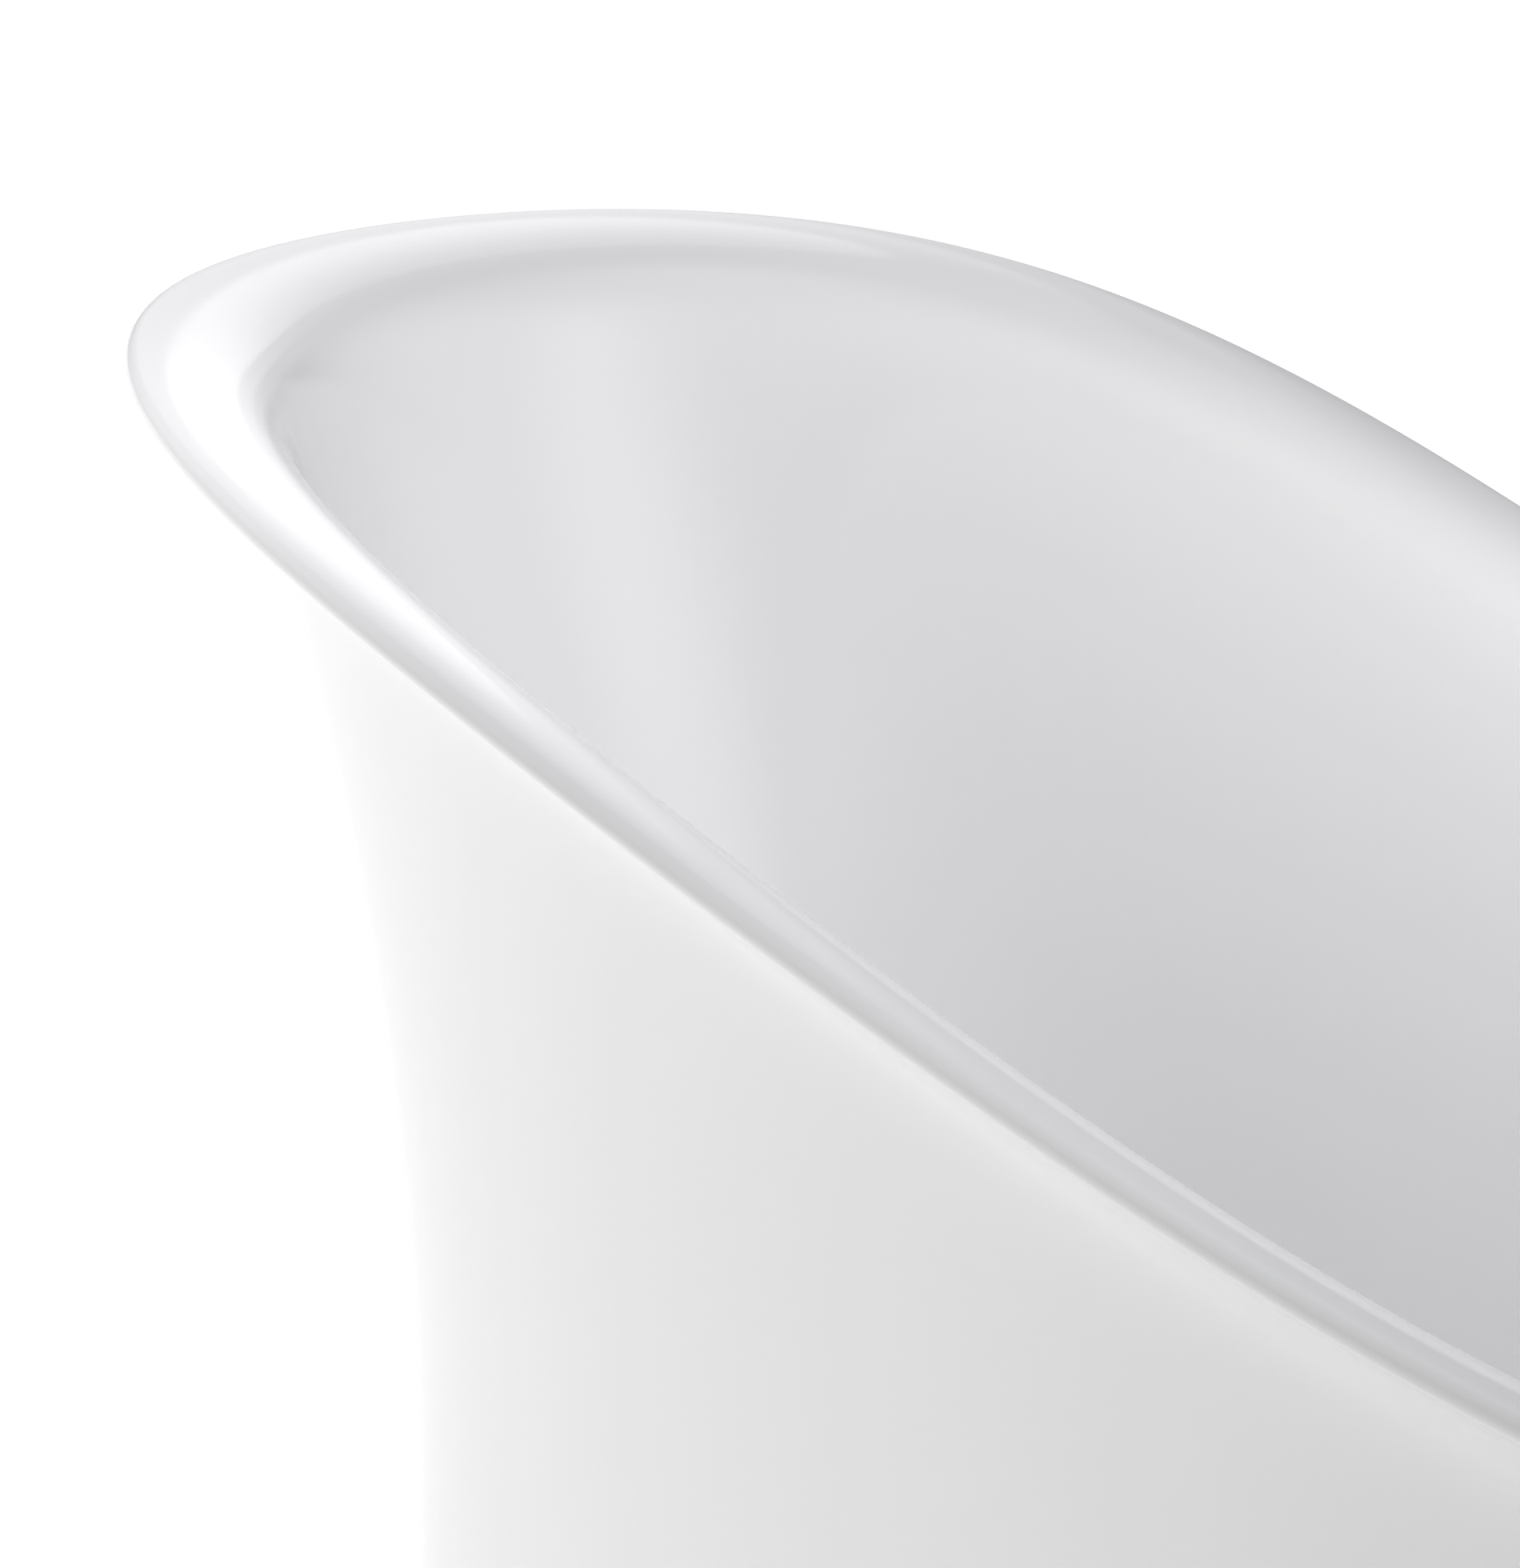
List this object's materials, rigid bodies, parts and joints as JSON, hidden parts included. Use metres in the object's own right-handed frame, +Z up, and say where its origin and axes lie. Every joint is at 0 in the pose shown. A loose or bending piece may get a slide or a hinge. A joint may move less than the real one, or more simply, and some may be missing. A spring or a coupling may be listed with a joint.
{
  "type": "freestanding bathtub",
  "caption": "Freestanding slipper bathtub with a raised flared backrest end, rolled rim, waisted skirt, pop-up waste and levelling feet.",
  "frame": {"origin": "on the floor under the middle of the rim outline", "axes": "+X towards the low foot end with the waste, -X towards the raised backrest, +Y across the tub, +Z up"},
  "size_m": [1.764, 0.6988, 0.792],
  "materials": {
    "acrylic": "gloss",
    "adhesive": "matte",
    "plywood": "matte",
    "zinc_steel": "satin",
    "chrome": "polished",
    "rubber": "matte",
    "foot_rubber": "matte",
    "pipe_plastic": "satin"
  },
  "bodies": {
    "tub": {"basin_shell": "acrylic", "outer_skirt": "acrylic", "rim_bond": "adhesive", "base_board": "plywood", "frame_rail_left": "zinc_steel", "frame_rail_right": "zinc_steel", "frame_cross_head": "zinc_steel", "frame_cross_middle": "zinc_steel", "frame_cross_tail": "zinc_steel", "board_screw_1": "zinc_steel", "board_screw_2": "zinc_steel", "board_screw_3": "zinc_steel", "board_screw_4": "zinc_steel", "board_screw_5": "zinc_steel", "board_screw_6": "zinc_steel", "foot_nut_1": "zinc_steel", "foot_nut_2": "zinc_steel", "foot_nut_3": "zinc_steel", "foot_nut_4": "zinc_steel", "foot_nut_5": "zinc_steel", "drain_flange": "chrome", "drain_gasket": "rubber", "waste_body": "pipe_plastic", "outlet_nut": "pipe_plastic", "outlet_tail": "pipe_plastic", "overflow_gasket_front": "rubber", "overflow_gasket_rear": "rubber", "overflow_plate": "chrome", "overflow_body": "pipe_plastic", "overflow_hose": "pipe_plastic", "hose_nut_upper": "pipe_plastic", "hose_nut_lower": "pipe_plastic", "control_cable": "rubber"},
    "plug": {"drain_plug": "chrome", "plug_seal": "rubber", "lift_rod": "zinc_steel"},
    "overflow_control": {"overflow_knob": "chrome"},
    "foot_1": {"foot_stud_1": "zinc_steel", "foot_pad_1": "foot_rubber"},
    "foot_2": {"foot_stud_2": "zinc_steel", "foot_pad_2": "foot_rubber"},
    "foot_3": {"foot_stud_3": "zinc_steel", "foot_pad_3": "foot_rubber"},
    "foot_4": {"foot_stud_4": "zinc_steel", "foot_pad_4": "foot_rubber"},
    "foot_5": {"foot_stud_5": "zinc_steel", "foot_pad_5": "foot_rubber"}
  },
  "joints": [
    {"name": "knob_turn", "type": "hinge", "parent": "tub", "child": "overflow_control", "pos_m": [0.70108, 0, 0.48839], "axis": [-0.9457, 0, 0.3252], "range_deg": [0, 90]},
    {"name": "plug_lift", "type": "slide", "parent": "tub", "child": "plug", "axis": [0, 0, 1], "range_m": [0, 0.0121]},
    {"name": "foot_1_travel", "type": "slide", "parent": "tub", "child": "foot_1", "axis": [0, 0, 1], "range_m": [-0.01, 0.012]},
    {"name": "foot_2_travel", "type": "slide", "parent": "tub", "child": "foot_2", "axis": [0, 0, 1], "range_m": [-0.01, 0.012]},
    {"name": "foot_3_travel", "type": "slide", "parent": "tub", "child": "foot_3", "axis": [0, 0, 1], "range_m": [-0.01, 0.012]},
    {"name": "foot_4_travel", "type": "slide", "parent": "tub", "child": "foot_4", "axis": [0, 0, 1], "range_m": [-0.01, 0.012]},
    {"name": "foot_5_travel", "type": "slide", "parent": "tub", "child": "foot_5", "axis": [0, 0, 1], "range_m": [-0.01, 0.012]}
  ],
  "couplings": [
    {"joint": "plug_lift", "follows": "knob_turn", "m_per_rad": 0.00764}
  ]
}
